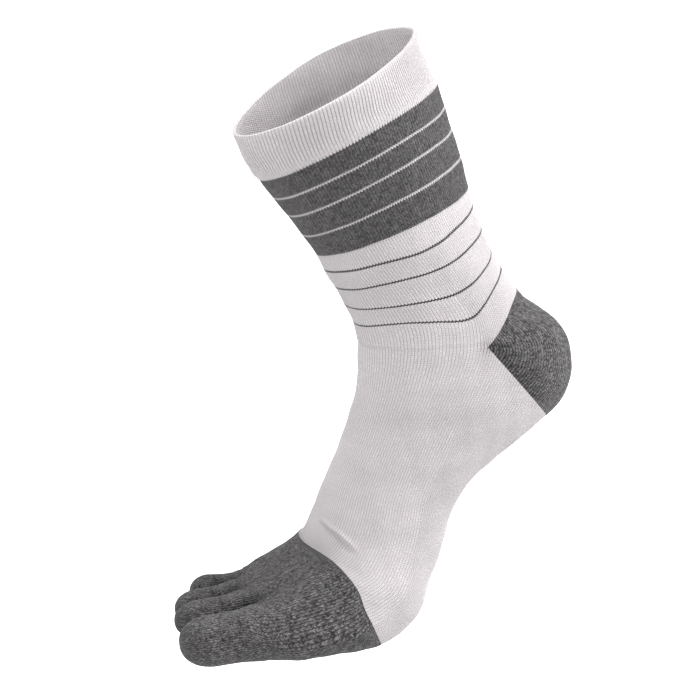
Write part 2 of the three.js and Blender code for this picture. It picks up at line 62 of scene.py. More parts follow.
# The foot, from the ankle line to the line where the toes part
FOOT_LENGTH = 0.183
FOOT_BEND = 1.18
BALL_DEPTH = 0.050
BALL_WIDTH = 0.098
BALL_LENGTH = 0.062
FOREFOOT_LENGTH = 0.0453
FOREFOOT_TOP_LENGTH = 0.0605
FOREFOOT_SOLE_LENGTH = 0.0507
FOREFOOT_LEAN = 0.016

# The toes
TOE_TILT = math.radians(5)
TOE_CORNER = math.radians(60)
BIG_TOE_LENGTH = 0.0425
TOE_GAP = 0.0007
TOE_FULL = 2.3
TOE_FREE_AT = 0.5
TOPS_REACH = 0.9
CAP_POWER = 0.85
CAP_RINGS = 14

# The fabric
KNIT_WALL = 0.0012
CUFF_WALL = 0.002
BOW_POWER = 1.5
SHARP_FROM = math.radians(65)

# The knitting: the wales run from the rim to the toes, and the courses go round. FINE is the number of points
# across a wale, and the lining takes every fourth ring
WALES = 176
EDGE_WALES = 8
WEB_WALES = 14
TOE_WALES = (22, 16, 15, 15, 12)
FINE = 4
CUFF_FINE = 8
RING_STEP = 0.0013
LINING_EVERY = 4
COURSE_PITCH = 0.00112
LEG_COURSES = LEG_LENGTH / COURSE_PITCH
FOOT_COURSES = FOOT_LENGTH * FOOT_BEND / COURSE_PITCH
BALL_TOP_COURSE = -round(FOOT_COURSES * 0.5)
FOREFOOT_TOP_COURSE = -round(FOOT_COURSES * 0.77)
EDGE_COURSES = 0.3

# Its relief, which fades over a few rings at a toe's root and tip. Each soft wave has its pace along X, Y and Z,
# and its start
WALE_RELIEF = 0.00013
RIDGE_POWER = 2.5
TOE_FADE_RINGS = (3, 10)
SOFT_WAVE = 0.009
SOFT_HEIGHT = 0.0004
FOREFOOT_SOFTNESS = 1.5
SOFT_WAVES = np.array([(1.1, 0, 0.7, 0.4), (-0.6, 1.3, 0.9, 0), (2.3, 1.1, -1.7, 2), (1.9, 0, 2.4, -0.8)])

# The cuff's ribs, which flatten to a share of their height at the rim and at the seam, its puff and its fold
RIB_RELIEF = 0.00042
RIM_RIBS = 0.25
RIM_FADE = 0.0025
SEAM_RIBS = 0.2
SEAM_FADE = 0.0045
CUFF_PUFF = 0.0007
PUFF_HEIGHT = 0.009
FOLD_RINGS = 6
FOLD_ROUND = 0.45

# Painted shade in creases round the heel's corners and at the toes' webs; the heel's lower edge darker too
CORNER_SHADE_REACH = 0.0065
CORNER_FADE = 0.006
TUBE_CORNER_SHADE = 0.5
LOWER_EDGE_DARKNESS = 0.5
LOWER_EDGE_WIDTH = 0.014
LOWER_EDGE_REACH = 0.052
LOWER_EDGE_FADE = 0.02
WEB_REACH = 0.0078
WEB_STRETCH = 0.36

# Courses up the leg. along is a share of its length, shift of the ankle's depth, side of the width there, and
# the other lengths of the depth there. A course that is full at 2 is an ellipse, and above that it is squarer
LEG_COLUMNS = "along shift front back side front_tilt back_tilt round bow skew roll swell full".split()
LEG_ROWS = [
    (0, 0, ANKLE_FRONT / ANKLE_DEPTH, HEEL_TOP_REACH / ANKLE_DEPTH, 0.5,
     ANKLE_TILT, HEEL_TOP_TILT, 0, 0, 0, 0, 0.035, 2.3),
    (0.105, -0.004, 0.643, 0.345, 0.47, 8.3, 40, 0.07, 0, 0, 0, 0.02, 2.25),
    (0.198, -0.041, 0.575, 0.353, 0.451, 11.8, 31, 0.12, 0, 0, 0, 0, 2.2),
    (0.314, -0.086, 0.501, 0.387, 0.443, 19, 22, 0.15, 0, 0, 0, 0, 2.15),
    (0.393, -0.117, 0.474, 0.418, 0.447, 21.5, 21.5, 0.1, 0, 0, 0, 0, 2.1),
    (0.471, -0.14, 0.446, 0.446, 0.451, 22.5, 22.5, 0, 0.015, 0, 0, 0, 2),
    (0.637, -0.139, 0.471, 0.471, 0.4745, 26.5, 26.5, 0, 0.03, 0, 0, 0, 2),
    (0.817, -0.146, 0.49, 0.4925, 0.494, 27.4, 27.4, 0, 0.035, 0, 0, 0, 2),
    (0.905, -0.147, 0.505, 0.491, 0.496, 27.8, 27.8, 0, 0.024, -0.016, 0.007, 0, 1.93),
    (1, -0.148, 0.49, 0.49, 0.5, 28.2, 28.2, 0, 0.01, -0.035, 0.017, 0, 1.8),
]

# How far the heel pocket reaches from its upper edge to its lower one
HEEL_COLUMNS = "at reach".split()
HEEL_ROWS = [
    (0, HEEL_TOP_REACH / HEEL_REACH), (0.14, 0.549), (0.245, 0.592), (0.345, 0.68), (0.5, 0.81), (0.68, 0.93),
    (0.82, 0.985), (1, 1),
]

# Courses along the foot. ahead and down are shares of its length, front, back and bow of the depth there, and
# inner, outer, ridge and skew of the width there
FOOT_COLUMNS = "along ahead down front back bow inner outer ridge front_tilt back_tilt skew full".split()
FOOT_ROWS = [
    (0, 0, 0, ANKLE_FRONT / ANKLE_DEPTH, HEEL_REACH / ANKLE_DEPTH, 0, 0.5, 0.5, 0,
     ANKLE_TILT, HEEL_SOLE_TILT, 0, 2.3),
    (0.11, 0.041, 0.127, 0.65, 0.58, 0, 0.467, 0.467, 0, 1.6, -45.8, 0, 2.25),
    (0.22, 0.08, 0.237, 0.645, 0.445, 0, 0.43, 0.445, -0.01, -1, -41.5, 0, 2.2),
    (0.32, 0.124, 0.336, 0.643, 0.34, 0, 0.41, 0.44, -0.02, -3.3, -36, 0, 2.2),
    (0.42, 0.168, 0.43, 0.642, 0.325, 0.01, 0.405, 0.455, -0.03, -8.6, -27.5, 0, 2.2),
    (0.52, 0.2, 0.54, 0.675, 0.325, 0.02, 0.42, 0.47, -0.03, -16.8, -23, 0.01, 2.2),
    (0.6, 0.2225, 0.622, 0.73, 0.305, 0.04, 0.445, 0.49, -0.03, -23.3, -25, 0.01, 2.2),
    (0.68, 0.261, 0.693, 0.745, 0.345, 0.07, 0.475, 0.505, -0.02, -33.5, -38, 0.02, 2.3),
    (0.725, 0.3, 0.72, 0.72, 0.38, 0.09, 0.485, 0.515, -0.015, -42, -49, 0.025, 2.35),
    (0.77, 0.343, 0.743, 0.69, 0.36, 0.12, 0.49, 0.52, -0.01, -52, -63, 0.03, 2.4),
    (0.85, 0.431, 0.77, 0.59, 0.275, 0.12, 0.495, 0.53, 0, -59, -74, 0.04, 2.5),
    (0.92, 0.514, 0.787, 0.485, 0.23, 0.07, 0.485, 0.53, 0.01, -62, -80, 0.045, 2.5),
    (1, 0.618, 0.792, 0.4, 0.2, 0.02, 0.46, 0.515, 0.01, -79, -88, 0.05, 2.5),
]

# The toes' edges where they part: side and bulge are shares of the ball's width, and the others of its depth
EDGE_COLUMNS = "side ahead top bottom bulge".split()
PARTING_EDGES = [dict(zip(EDGE_COLUMNS, row)) for row in [
    (-0.445, -0.06, 0.1, -0.06, 0.012),
    (-0.171, -0.02, 0.31, -0.11, 0),
    (0.012, 0.1, 0.35, -0.08, 0),
    (0.187, 0.04, 0.35, -0.06, 0),
    (0.357, -0.08, 0.29, -0.05, 0),
    (0.51, -0.16, 0.2, 0.02, 0.012),
]]

# crest, sole, middle and high are shares of the ball's depth, length is one of the big toe's, and lean degrees
TOE_COLUMNS = "name crest sole middle high length lean".split()
TOES = [dict(zip(TOE_COLUMNS, row)) for row in [
    ("big_toe", 0.36, -0.2, 0.06, 0.25, 1, 3),
    ("second_toe", 0.39, -0.17, 0.165, 0.19, 0.87, 1),
    ("third_toe", 0.4, -0.15, 0.175, 0.186, 0.76, 0),
    ("fourth_toe", 0.38, -0.14, 0.215, 0.185, 0.62, -2),
    ("little_toe", 0.3, -0.12, 0.11, 0.165, 0.54, -5),
]]

# A toe's width and height up to its round end
OUTLINE_COLUMNS = "at wide high".split()
TOE_OUTLINE = [(0, 1, 1), (0.3, 0.95, 0.96), (0.62, 0.98, 1)]

# How many courses the leg's courses sag under level lines, from the front wale to the back one, near the
# ankle line and above it
DRIFT_COLUMNS = "wale low high".split()
DRIFT_ROWS = [
    (0, -0.3, 0.5), (10, 0.8, 0.7), (21, 2.1, 0.4), (29, 0.4, -0.2), (39, -2.2, -1.4), (49, -0.9, -1.1),
    (59, 0.3, 0.5), (70, 0.4, 1.8), (77, 0.1, 2.8), (88, 0, 3),
]

# How many wales the knitting slides round the big toe's side, towards the back or the sole
SLIDE_COLUMNS = "along wales".split()
LEG_SLIDE_ROWS = [(0, 0), (0.05, 1.8), (0.1, 3.1), (0.2, 4), (0.473, 4.4), (0.82, 5.1), (1, 9.5)]
FOOT_SLIDE_ROWS = [(0, 0), (0.04, 0.5), (0.25, -1.7), (0.5, 0), (0.8, -2.4), (1, -4.3)]
SLIDE_POWER = 1.4

LEG_AXIS = np.array([-math.sin(LEG_LEAN), 0, math.cos(LEG_LEAN)])
LEG_ACROSS = np.array([LEG_AXIS[2], 0, -LEG_AXIS[0]])
TOE_AXIS = np.array([-math.cos(TOE_TILT), 0, -math.sin(TOE_TILT)])
TOE_UP = np.array([TOE_AXIS[2], 0, -TOE_AXIS[0]])
SIDEWAYS = np.array([0.0, 1.0, 0.0])

CUFF_FROM = 1 - CUFF_HEIGHT / LEG_LENGTH
BAND_FROM = CUFF_FROM - BAND_HEIGHT / LEG_LENGTH
FOOT_PATH = FOOT_LENGTH * FOOT_BEND
BALL_FROM = 1 - (FOREFOOT_LENGTH + BALL_LENGTH) / FOOT_PATH

# Where the sag holds, in shares of the leg: its start, how long it grows, its end and how long it fades
LOW_DRIFT = (0, 0.1, 0.2, 0.09)
HIGH_DRIFT = (0.1, 0.08, BAND_FROM, 0.06)

# The instep's crease: its route, a wale and the share of the foot's length, and the wales over which it holds
CREASE_ROUTE = [(6.7, 0.548), (9.8, 0.551), (17.1, 0.564), (22.6, 0.584), (29.3, 0.61)]
CREASE_WALES = (2, 9, 27, 7)

# The place, height and width of each low ridge or groove
CREASE_FOLDS = [(0, 0.0016, 0.002), (0.0042, -0.0013, 0.0022)]
ANKLE_FOLDS = [(0.022 * LEG_LENGTH, 0.0003, 0.0009), (0.01 * LEG_LENGTH, -0.0002, 0.0008)]

# The yarn's stitches, in wales and courses
WOBBLE = 0.36
WOBBLE_WALES = 0.6
WOBBLE_COURSES = 0.8
STITCH_SLANT = 0.7
STRIPE_SLANT = 0.6
STRAND_POWER = 0.6
STRAND_EDGE = 0.35
FIBRE_COURSES = 6.0
FIBRE_SCALE = 3.0
FLECKS = 2
STREAK_WALES = 0.8
STREAK_COURSES = 1.7
STITCH_RELIEF = 0.00034
ROUGH_RELIEF = 0.25

# What makes the grey and the white yarn lighter and darker, as shares
HEATHER_STREAK = 0.3
HEATHER_FLECK = 0.48
HEATHER_FIBRE = 0.22
WHITE_FIBRE = 0.4
WHITE_FLECK = 0.6
# How much painted shade the shade mask brings, and how much more it brings to the grooves between wales
MASK_SHADE = 0.22
MASK_GROOVE_SHADE = 0.85
BLOTCH_SCALE = 38.0
BLOTCH_SHARE = 0.12

BLOTCH = (0.5, 0.49, 0.5, 1)
# The colour that painted shade darkens the yarn towards
SHADE = (0.08, 0.075, 0.08, 1)
GREY_DARK = (0.018, 0.016, 0.017, 1)
GREY_LIGHT = (0.295, 0.285, 0.287, 1)
WHITE_DARK = (0.66, 0.61, 0.632, 1)
WHITE_LIGHT = (1.0, 0.955, 0.975, 1)
PALE_FLOOR = (0.9, 0.9, 0.9, 1)
PLAIN_WHITE = (1.0, 1.0, 1.0, 1)
YARN_GLOSS = {"Roughness": 0.92, "Specular IOR Level": 0.2, "Sheen Weight": 0.12, "Sheen Roughness": 0.4}

# Each kind of knitting: the share of its grooves that is the same in every stitch, how much painted shade
# darkens the gaps between its stitches and the grooves between its wales, and how light and how mixed its grey
# yarn is
KNIT_COLUMNS = "kind steady pits grooves light contrast".split()
KNITS = [dict(zip(KNIT_COLUMNS, row)) for row in [
    ("white_rib", 0.3, 0.3, 0.6, 0.6, 1.3),
    ("grey_striped_knit", 0.4, 0.32, 0.7, 0.92, 1.3),
    ("white_striped_knit", 0.15, 0.28, 0.6, 0.6, 1.3),
    ("white_knit", 0.15, 0.28, 0.6, 1, 1.3),
    ("grey_knit", 0.4, 0.22, 1, 1.8, 2.2),
]]

# The courses with stripes, the band's first and last course, the small ticks of grey at the cuff's seam, and
# the courses over which the painted shade in its grooves grows full, counted from the seam, and the share of
# that shade at the seam
PALE_STRIPES = (97, 87, 75)
PALE_SHARE = 0.8
DARK_STRIPES = (53, 42, 27, 15)
BAND_TOP_COURSE = math.floor(CUFF_FROM * LEG_COURSES)
BAND_BOTTOM_COURSE = math.floor(BAND_FROM * LEG_COURSES)
BORDER_LIFT = 0.1
BORDER_TICK = 1.5
RIBS_FROM = 1.5
RIBS_FULL = 6
SEAM_GROOVES = 0.15

CAMERA_TURN = math.radians(12)
CAMERA_RISE = math.radians(13)
CAMERA_DISTANCE = 2.0
VIEW_WIDTH = 0.35
VIEW_MIDDLE = (-0.048, -0.0075)
SENSOR = 36.0

# Each lamp's name, compass angle from +X to +Y and angle over level in degrees, distance, size and watts
LAMPS = [
    ("key", -13, 34, 1.6, 1.2, 32),
    ("fill", 200, 58, 1.6, 1.0, 9),
    ("opening", 199, 64, 0.206, 0.04, 0.03),
]
WORLD_STRENGTH = 1.0
FLOOR_REACH = 30.0
FLOOR_DROP = 0.6


def mix(a, b, share):
    """What lies at a share of the way from a to b."""
    return a + (b - a) * share


def power(value, exponent):
    """A power that keeps the sign."""
    return np.sign(value) * np.abs(value) ** exponent


def ease(share):
    """A smooth step from 0 to 1."""
    share = np.clip(share, 0, 1)
    return share * share * (3 - 2 * share)


def between(place, start, rise, end, fall):
    """1 from start to end, but for the lengths over which it rises and falls."""
    return ease((place - start) / rise) * ease((end - place) / fall)


def folds(distance, rows):
    """How far low ridges and grooves lift the fabric at a distance."""
    return sum(height * np.exp(-((distance - place) / width) ** 2) for place, height, width in rows)


def wale_places(fine=FINE):
    """Places round the sock, in wales."""
    return np.arange(WALES * fine) / fine


def smooth(columns, rows, places):
    """Every column of a table at places between its rows, on smooth curves through them."""
    places = np.asarray(places, float)
    table = np.array(rows, float)
    key = table[:, 0]
    last = len(key) - 1
    rank = np.arange(last + 1)
    low, high = np.maximum(rank - 1, 0), np.minimum(rank + 1, last)
    slopes = (table[high] - table[low]) / (key[high] - key[low])[:, None]
    i = np.clip(np.searchsorted(key, places) - 1, 0, last - 1)
    span = (key[i + 1] - key[i])[..., None]
    t = (places - key[i])[..., None] / span
    made = (table[i] * (1 + 2 * t) * (1 - t) ** 2 + table[i + 1] * t ** 2 * (3 - 2 * t)
            + span * (slopes[i] * t * (1 - t) ** 2 - slopes[i + 1] * t ** 2 * (1 - t)))
    return dict(zip(columns, np.moveaxis(made, -1, 0)))


def in_side_view(angle):
    """Directions in the side view, at angles from level."""
    return np.stack([np.cos(angle), np.zeros_like(angle), np.sin(angle)], axis=-1)


def leg_courses(along):
    """The real sizes of courses of the leg, at shares of its length."""
    row = smooth(LEG_COLUMNS, LEG_ROWS, along)
    depth = mix(ANKLE_DEPTH, RIM_DEPTH, along)
    width = mix(ANKLE_WIDTH, RIM_WIDTH, along)
    made = {name: row[name] * depth for name in ("front", "back", "skew", "round", "bow", "roll", "swell")}
    made |= {name: row[name] for name in ("front_tilt", "back_tilt", "full")}
    made |= {"inner": row["side"] * width, "outer": row["side"] * width, "ridge": 0 * width}
    made["middle"] = (CORNER + np.multiply.outer(along * LEG_LENGTH, LEG_AXIS)
                      + np.multiply.outer(row["shift"] * ANKLE_DEPTH, LEG_ACROSS))
    return made


def foot_courses(along):
    """The real sizes of courses of the foot, at shares of the way to the parting line."""
    row = smooth(FOOT_COLUMNS, FOOT_ROWS, along)
    depth = mix(ANKLE_DEPTH, BALL_DEPTH, along)
    width = mix(ANKLE_WIDTH, BALL_WIDTH, along)
    made = {name: row[name] * depth for name in ("front", "back", "bow")}
    made |= {name: row[name] * width for name in ("inner", "outer", "ridge", "skew")}
    made |= {name: row[name] for name in ("front_tilt", "back_tilt", "full")}
    made |= {name: 0 * width for name in ("round", "roll", "swell")}
    made["middle"] = CORNER - FOOT_LENGTH * np.stack([row["ahead"], 0 * row["ahead"], row["down"]], axis=-1)
    return made


def heel_courses(share):
    """Bent half courses that fan from the pocket's upper edge to its lower edge."""
    made = leg_courses(0 * share)
    made["back"] = smooth(HEEL_COLUMNS, HEEL_ROWS, share)["reach"] * HEEL_REACH
    made["back_tilt"] = mix(HEEL_TOP_TILT, HEEL_SOLE_TILT, share)
    made["swell"] = made["swell"] * (1 - share)
    return made


def forefoot_from(turn):
    """The line where the white foot ends and the grey forefoot starts, at turns round the foot."""
    sides = np.sin(turn) ** 2
    lean = FOREFOOT_LEAN * np.sin(turn) * np.cos(turn) ** 2
    return 1 - np.where(np.cos(turn) >= 0, mix(FOREFOOT_TOP_LENGTH, FOREFOOT_LENGTH, sides ** 2) + lean,
                        mix(FOREFOOT_SOLE_LENGTH, FOREFOOT_LENGTH, sides)) / FOOT_PATH


def course_points(course, turn, inset=0.0):
    """Points of courses. turn is the angle from the front, with the big toe's side at a quarter turn."""
    ahead = np.cos(turn) >= -1e-9
    exponent = 2 / course["full"]
    reach = np.where(ahead, course["front"], course["back"]) - inset
    half = np.where(np.sin(turn) >= 0, course["inner"], course["outer"]) - inset
    share = -power(np.sin(turn), exponent)
    depth = -power(np.cos(turn), exponent) * reach - course["skew"] * share
    bend = np.radians(course["back_tilt"] - course["front_tilt"]) / 2
    line = np.radians(course["front_tilt"] + course["back_tilt"]) / 2
    lifted = course["bow"] * np.abs(share) ** BOW_POWER + course["roll"] * share
    swollen = np.where(ahead, 0, course["swell"] * 4 * share ** 2 * (1 - share ** 2))
    rise = np.hypot(depth, course["round"]) * np.sin(bend) + lifted + swollen
    side = course["ridge"] * (1 - np.abs(share)) + half * share
    return (course["middle"] + (depth * np.cos(bend))[..., None] * in_side_view(line)
            + rise[..., None] * in_side_view(line + math.pi / 2) + side[..., None] * SIDEWAYS)


def lengths_along(points):
    """The distance from the first point of each line of points, as shares of the line."""
    steps = np.linalg.norm(np.diff(points, axis=-2), axis=-1)
    run = np.concatenate([np.zeros_like(steps[..., :1]), np.cumsum(steps, axis=-1)], axis=-1)
    return run / run[..., -1:]


def even_turns(points_at, rings, wales, slide=0.0):
    """The turns at which wales stand on each ring, evenly spaced along each quarter but for a slide, in wales,
    that moves them towards the back on the big toe's side. points_at gives points of every ring at turns."""
    dense = (1 - np.cos(np.linspace(0, math.pi, 60))) / 2
    quarters = [(k + dense) * math.pi / 2 for k in range(4)]
    shares = [lengths_along(points_at(np.broadcast_to(turns, (rings, len(dense))))) for turns in quarters]
    places = np.concatenate([(k + share) * WALES / 4 for k, share in enumerate(shares)], axis=1)
    bump = np.where(wales < WALES / 2, np.abs(np.sin(2 * math.pi * wales / WALES)) ** SLIDE_POWER, 0)
    stand = wales + np.broadcast_to(slide, (rings, 1)) * bump
    return np.array([np.interp(stand[i], places[i], np.concatenate(quarters)) for i in range(rings)])


def normals_of(points, closed):
    """The directions that a grid of points faces, as Knit.surface says."""
    if closed:
        around = np.roll(points, -1, axis=1) - np.roll(points, 1, axis=1)
    else:
        around = np.gradient(points, axis=1)
    up = np.gradient(points, axis=0)
    normal = np.cross(around, up)
    size = np.linalg.norm(normal, axis=-1, keepdims=True)
    return normal / np.maximum(size, 1e-12)


def wale_ridge(wales):
    """The height of the fabric across its wales, from 0 in the grooves to 1 on the ridges."""
    across = np.abs(2 * (wales - np.floor(wales)) - 1)
    return 1 - across ** RIDGE_POWER


class Knit:
    """Surfaces of knitted fabric gathered into one piece. A UV map keeps each point's place in the knitting,
    in wales and courses."""

    def __init__(self):
        self.points, self.gathers, self.faces, self.places = [], [], [], []
        self.count = 0

    def surface(self, points, wales, courses, around=0, gather=0.0):
        """A grid of points. Seen from the side that it faces, its rows run to the right and follow each other
        upwards. around is the number of wales that a closed row runs through, and the last argument says from
        0 to 1 how much painted shade the material puts there."""
        rows, columns = points.shape[:2]
        index = self.count + np.arange(rows * columns).reshape(rows, columns)
        self.count += rows * columns
        self.points.append(points.reshape(-1, 3))
        self.gathers.append(np.broadcast_to(gather, (rows, columns)).ravel())
        places = np.stack([np.broadcast_to(part, (rows, columns)) for part in (wales, courses)], axis=-1)
        self.skin(index, places, around)
        return index, places

    def skin(self, index, places, around=0):
        """Quads between neighbouring rows of points."""
        if around:
            index = np.concatenate([index, index[:, :1]], axis=1)
            places = np.concatenate([places, places[:, :1] + [around, 0]], axis=1)
        for grid, kept in ((index, self.faces), (places, self.places)):
            corners = [grid[:-1, :-1], grid[:-1, 1:], grid[1:, 1:], grid[1:, :-1]]
            kept.append(np.stack(corners, axis=2).reshape((-1, 4) + grid.shape[2:]))

    def join(self, low, high, around=0):
        """A strip between two rows that are on the mesh already."""
        self.skin(np.stack([low[0], high[0]]), np.stack([low[1], high[1]]), around)

    def piece(self, name, finish, slot, *nodes):
        """The finished object, which stands for CAD nodes."""
        mesh = bpy.data.meshes.new(name)
        faces = np.concatenate(self.faces)
        mesh.from_pydata(np.concatenate(self.points).tolist(), [], faces.tolist())
        layer = mesh.uv_layers.new(name="knit")
        layer.data.foreach_set("uv", np.concatenate(self.places).astype(np.float32).ravel())
        # The mask of painted shade, which the material reads
        painted_shade_amount = mesh.attributes.new("gather", "FLOAT", "POINT")
        painted_shade_amount.data.foreach_set("value", np.concatenate(self.gathers).astype(np.float32))
        mesh.polygons.foreach_set("use_smooth", np.ones(len(faces), bool))
        mesh.materials.append(finish)
        mesh.update()
        mesh.set_sharp_from_angle(angle=SHARP_FROM)
        made = bpy.data.objects.new(name, mesh)
        bpy.context.scene.collection.objects.link(made)
        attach(made, "root")
        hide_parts(*nodes)
        return made


def unevenness(points):
    """How far soft fabric stands off its smooth shape, from wide shallow waves."""
    waves = np.sin(points / SOFT_WAVE @ SOFT_WAVES[:, :3].T + SOFT_WAVES[:, 3])
    return SOFT_HEIGHT * (waves[..., 0] * waves[..., 1] + 0.5 * waves[..., 2] * waves[..., 3])


def corner_painted_shade(points):
    """How much painted shade falls in the creases round the heel's two corners."""
    return ease(1 - np.linalg.norm((points - CORNER)[..., [0, 2]], axis=-1) / CORNER_SHADE_REACH)


def ends_of(made, row):
    """One row of a surface that Knit.surface returned."""
    index, places = made
    return index[row], places[row]


def rings_for(length):
    """A number of steps of about RING_STEP, which the lining's steps divide evenly."""
    return LINING_EVERY * max(2, round(length / RING_STEP / LINING_EVERY))


def tube_piece(points_at, rings, courses, slide, fold, *words):
    """A part of the leg or the foot. courses holds the course number of each ring or each point, and fold how
    far a crease lifts the fabric there."""
    wales = wale_places()
    outer = points_at(even_turns(points_at, rings, wales, slide))
    outward = normals_of(outer, True)
    height = (WALE_RELIEF * wale_ridge(wales) + unevenness(outer) + fold)[..., None]
    skin = outer + outward * height
    lining = (outer - outward * (KNIT_WALL - height))[::LINING_EVERY]
    courses = np.broadcast_to(courses, outer.shape[:2])
    knit = Knit()
    outside = knit.surface(skin, wales, courses, WALES, TUBE_CORNER_SHADE * corner_painted_shade(skin))
    inside = knit.surface(lining[::-1], wales, courses[::LINING_EVERY][::-1], WALES)
    knit.join(ends_of(inside, -1), ends_of(outside, 0), WALES)
    knit.join(ends_of(outside, -1), ends_of(inside, 0), WALES)
    return knit.piece(*words)


def leg_piece(first, last, *words):
    """A part of the leg between two shares of its length."""
    rings = rings_for((last - first) * LEG_LENGTH) + 1
    along = np.linspace(first, last, rings)[:, None]
    fold = folds(along * LEG_LENGTH, ANKLE_FOLDS)
    return tube_piece(lambda turn: course_points(leg_courses(along + 0 * turn), turn), rings,
                      leg_course_numbers(along), leg_slide(along), fold, *words)


def leg_slide(along):
    """How far the leg's wales slide to the back, in wales, at shares of its length."""
    return smooth(SLIDE_COLUMNS, LEG_SLIDE_ROWS, along)["wales"]


def foot_slide(along):
    """How far the foot's wales slide to the sole, in wales, at shares of the white foot."""
    return smooth(SLIDE_COLUMNS, FOOT_SLIDE_ROWS, along)["wales"]


def instep_crease(share):
    """A short fold that runs down over the instep to the big toe's side, at shares of the ball's length."""
    wales = wale_places()
    line = np.interp(wales, *zip(*CREASE_ROUTE))
    ahead = (mix(forefoot_from(wales / WALES * 2 * math.pi), BALL_FROM, share) - line) * FOOT_PATH
    return between(wales, *CREASE_WALES) * folds(ahead, CREASE_FOLDS)


def leg_course_numbers(along):
    """Which course of the leg each wale has at shares of its length. The courses sag beside the heel's
    corners."""
    wales = wale_places()
    drift = smooth(DRIFT_COLUMNS, DRIFT_ROWS, np.minimum(wales, WALES - wales))
    sag = between(along, *LOW_DRIFT) * drift["low"] + between(along, *HIGH_DRIFT) * drift["high"]
    return along * LEG_COURSES - sag


def foot_piece(*words):
    """The white foot from the ankle line to the ball."""
    rings = rings_for(BALL_FROM * FOOT_PATH) + 1
    along = np.linspace(BALL_FROM, 0, rings)[:, None]
    return tube_piece(lambda turn: course_points(foot_courses(along + 0 * turn), turn), rings,
                      along / BALL_FROM * BALL_TOP_COURSE, foot_slide(along), 0.0, *words)


def front_points(turn, to, share, inset=0.0):
    """Points of the foot's front part, at shares of the way from the forefoot's line to another place."""
    return course_points(foot_courses(mix(forefoot_from(turn), to, share)), turn, inset)


def ball_piece(*words):
    """The white part over the ball, up to the slanting line of the forefoot."""
    rings = rings_for(BALL_LENGTH) + 1
    share = np.linspace(0, 1, rings)[:, None]
    slide = foot_slide(mix(1, BALL_FROM, share))
    return tube_piece(lambda turn: front_points(turn, BALL_FROM, share), rings,
                      mix(FOREFOOT_TOP_COURSE, BALL_TOP_COURSE, share), slide, instep_crease(share), *words)


def cuff_piece(*words):
    """The welt: a double layer folded at the rim, with deep ribs."""
    wales = wale_places(CUFF_FINE)
    rings = rings_for(CUFF_HEIGHT) + 1
    along = np.linspace(CUFF_FROM, 1, rings)[:, None]

    def points_at(turn):
        return course_points(leg_courses(along + 0 * turn), turn)

    outer = points_at(even_turns(points_at, rings, wales, leg_slide(along)))
    outward = normals_of(outer, True)
    below_rim = (1 - along) * LEG_LENGTH
    above_seam = CUFF_HEIGHT - below_rim
    fade = mix(RIM_RIBS, 1, ease(below_rim / RIM_FADE)) * mix(SEAM_RIBS, 1, ease(above_seam / SEAM_FADE))
    puff = CUFF_PUFF * np.sin(math.pi * np.clip(above_seam / PUFF_HEIGHT, 0, 1))
    height = (RIB_RELIEF * fade * wale_ridge(wales) + puff + unevenness(outer))[..., None]
    skin = outer + outward * height
    lining = outer - outward * (CUFF_WALL - height)
    angles = np.linspace(0, math.pi, FOLD_RINGS + 2)[1:-1, None, None]
    fold = (mix(skin[-1], lining[-1], (1 - np.cos(angles)) / 2)
            + LEG_AXIS * CUFF_WALL * FOLD_ROUND * np.sin(angles))
    courses = along * LEG_COURSES
    fold_courses = LEG_COURSES + np.arange(1, FOLD_RINGS + 1)[:, None] * EDGE_COURSES
    knit = Knit()
    outside = knit.surface(np.concatenate([skin, fold]), wales, np.concatenate([courses, fold_courses]), WALES)
    inside = knit.surface(lining[::-1][::2], wales, (2 * LEG_COURSES - courses)[::-1][::2], WALES)
    knit.join(ends_of(outside, -1), ends_of(inside, 0), WALES)
    knit.join(ends_of(inside, -1), ends_of(outside, 0), WALES)
    return knit.piece(*words)


def heel_piece(*words):
    """The pocket: half rings that fan from its upper edge to its lower edge and meet at its two corners."""
    wales = WALES / 4 + np.arange(WALES // 2 * FINE + 1) / FINE
    rings = rings_for(HEEL_REACH * HEEL_ARC) + 1
    share = np.linspace(1, 0, rings)[:, None]

    def points_at(turn):
        return course_points(heel_courses(share + 0 * turn), turn)

    outer = points_at(even_turns(points_at, rings, np.minimum(wales, WALES * 0.75 - 1e-6)))
    outward = normals_of(outer, False)
    reach = np.linalg.norm((outer - CORNER)[..., [0, 2]], axis=-1)
    angle = np.radians(mix(HEEL_TOP_TILT, HEEL_SOLE_TILT, share) - (HEEL_TOP_TILT + HEEL_SOLE_TILT) / 2)
    courses = reach * angle / COURSE_PITCH
    near_corner = ease(reach / CORNER_FADE)
    relief = (WALE_RELIEF * wale_ridge(wales) + unevenness(outer)) * near_corner
    skin = outer + outward * relief[..., None]
    lining = (outer - outward * (KNIT_WALL * near_corner - relief)[..., None])[::LINING_EVERY]
    # The heel is darker in a strip along its lower edge, fading away from the corners
    over_seam = reach * np.radians((1 - share) * (HEEL_TOP_TILT - HEEL_SOLE_TILT))
    lower_edge_darkening = LOWER_EDGE_DARKNESS * ease(1 - over_seam / LOWER_EDGE_WIDTH) * ease((LOWER_EDGE_REACH - reach) / LOWER_EDGE_FADE)
    knit = Knit()
    outside = knit.surface(skin, wales, courses, gather=np.maximum(corner_painted_shade(skin), lower_edge_darkening))
    inside = knit.surface(lining[::-1], wales, courses[::LINING_EVERY][::-1])
    knit.join(ends_of(inside, -1), ends_of(outside, 0))
    knit.join(ends_of(outside, -1), ends_of(inside, 0))
    return knit.piece(*words)


PARTING = foot_courses(np.ones(1))["middle"][0]


def at_parting(ahead, side, up):
    """Points given from the middle of the parting line, in the toes' own directions."""
    return (PARTING * [1, 0, 1] + np.multiply.outer(ahead, TOE_AXIS) + np.multiply.outer(up, TOE_UP)
            + np.multiply.outer(side, SIDEWAYS))


def edge_wales(number):
    """How many wales run down one edge of the toes."""
    return EDGE_WALES if number in (0, len(TOES)) else WEB_WALES


